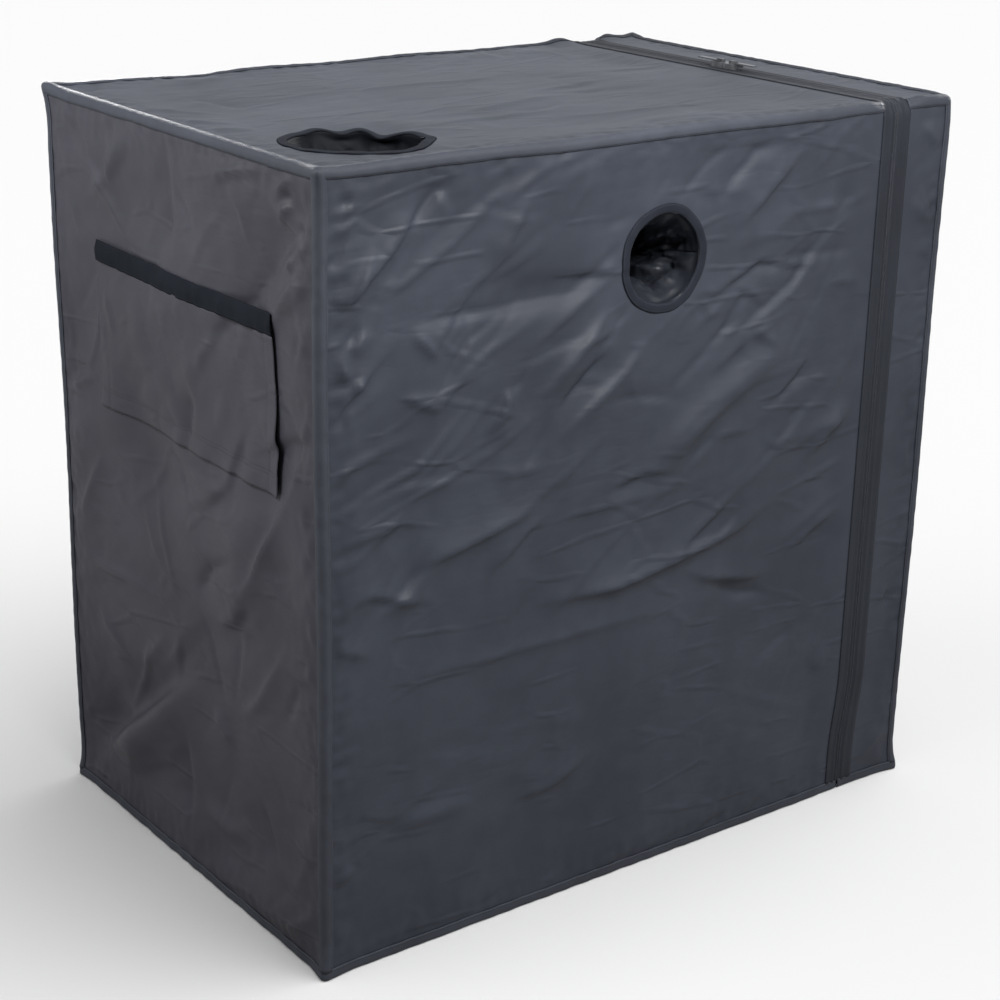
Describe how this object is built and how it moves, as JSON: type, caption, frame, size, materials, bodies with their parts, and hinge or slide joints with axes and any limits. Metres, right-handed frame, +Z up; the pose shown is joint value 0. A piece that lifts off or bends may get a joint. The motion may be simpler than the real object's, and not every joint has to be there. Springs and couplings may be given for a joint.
{
  "type": "grow tent",
  "caption": "Box-shaped cloth grow tent on a pole frame, with a zipped fold-down end, duct ports with inner sleeves and a vent window under a hook-and-loop flap.",
  "frame": {"origin": "centre of the rectangular footprint, on the ground, under the floor panel", "axes": "+X along the long front wall towards the zipped end, +Y from the front wall to the back wall, +Z up"},
  "size_m": [0.9015, 0.6, 0.9094],
  "materials": {
    "oxford_cloth": "matte",
    "binding_tape": "matte",
    "sleeve_cloth": "satin",
    "zip_tape": "matte",
    "zip_coil": "satin",
    "zip_metal": "satin",
    "hook_and_loop": "matte",
    "vent_mesh": "matte",
    "coated_steel_tube": "satin",
    "corner_plastic": "matte"
  },
  "bodies": {
    "tent": {"back_panel": "oxford_cloth", "binding_back_left": "binding_tape", "binding_front_left": "binding_tape", "binding_top_back": "binding_tape", "binding_top_front": "binding_tape", "binding_top_left": "binding_tape", "corner_bottom_back_left": "corner_plastic", "corner_bottom_back_right": "corner_plastic", "corner_bottom_front_left": "corner_plastic", "corner_bottom_front_right": "corner_plastic", "corner_top_back_left": "corner_plastic", "corner_top_back_right": "corner_plastic", "corner_top_front_left": "corner_plastic", "corner_top_front_right": "corner_plastic", "floor_binding": "binding_tape", "floor_panel": "oxford_cloth", "front_panel": "oxford_cloth", "hanging_bar_clips": "corner_plastic", "hanging_bar_left": "coated_steel_tube", "hanging_bar_right": "coated_steel_tube", "left_panel": "oxford_cloth", "pole_bottom_back": "coated_steel_tube", "pole_bottom_front": "coated_steel_tube", "pole_bottom_left": "coated_steel_tube", "pole_bottom_right": "coated_steel_tube", "pole_top_back": "coated_steel_tube", "pole_top_front": "coated_steel_tube", "pole_top_left": "coated_steel_tube", "pole_top_right": "coated_steel_tube", "pole_upright_back_left": "coated_steel_tube", "pole_upright_back_right": "coated_steel_tube", "pole_upright_front_left": "coated_steel_tube", "pole_upright_front_right": "coated_steel_tube", "port_ring_front": "binding_tape", "port_ring_top": "binding_tape", "port_sleeve_front": "sleeve_cloth", "port_sleeve_top": "sleeve_cloth", "top_panel": "oxford_cloth", "vent_header_tape": "binding_tape", "vent_loop_strips": "hook_and_loop", "vent_mesh": "vent_mesh", "zip_coil_fixed": "zip_coil", "zip_tape_fixed": "zip_tape"},
    "door": {"door_back_binding": "binding_tape", "door_back_rim": "oxford_cloth", "door_end_panel": "oxford_cloth", "door_front_binding": "binding_tape", "door_front_rim": "oxford_cloth", "door_sill_binding": "binding_tape", "door_top_binding": "binding_tape", "door_top_rim": "oxford_cloth", "zip_tape_door": "zip_tape", "zip_coil_door": "zip_coil"},
    "vent_flap": {"vent_flap": "oxford_cloth", "flap_hook_strips": "hook_and_loop"},
    "slider_front": {"zip_slider_front": "zip_metal"},
    "slider_back": {"zip_slider_back": "zip_metal"},
    "pull_front": {"zip_pull_front": "zip_metal"},
    "pull_back": {"zip_pull_back": "zip_metal"}
  },
  "joints": [
    {"name": "door_fold", "type": "hinge", "parent": "tent", "child": "door", "pos_m": [0.45, 0, 0.001], "axis": [0, 1, 0], "range_deg": [0, 90]},
    {"name": "vent_flap_lift", "type": "hinge", "parent": "tent", "child": "vent_flap", "pos_m": [-0.4515, -0.008, 0.712], "axis": [0, 1, 0], "range_deg": [0, 170]},
    {"name": "zip_slider_front_run", "type": "slide", "parent": "tent", "child": "slider_front", "axis": [0, -1, 0], "range_m": [0, 0.255]},
    {"name": "zip_slider_back_run", "type": "slide", "parent": "tent", "child": "slider_back", "axis": [0, 1, 0], "range_m": [0, 0.255]},
    {"name": "zip_pull_front_flip", "type": "hinge", "parent": "slider_front", "child": "pull_front", "pos_m": [0.355, -0.0113, 0.907], "axis": [-1, 0, 0], "range_deg": [0, 160]},
    {"name": "zip_pull_back_flip", "type": "hinge", "parent": "slider_back", "child": "pull_back", "pos_m": [0.355, 0.0113, 0.907], "axis": [1, 0, 0], "range_deg": [0, 160]}
  ]
}
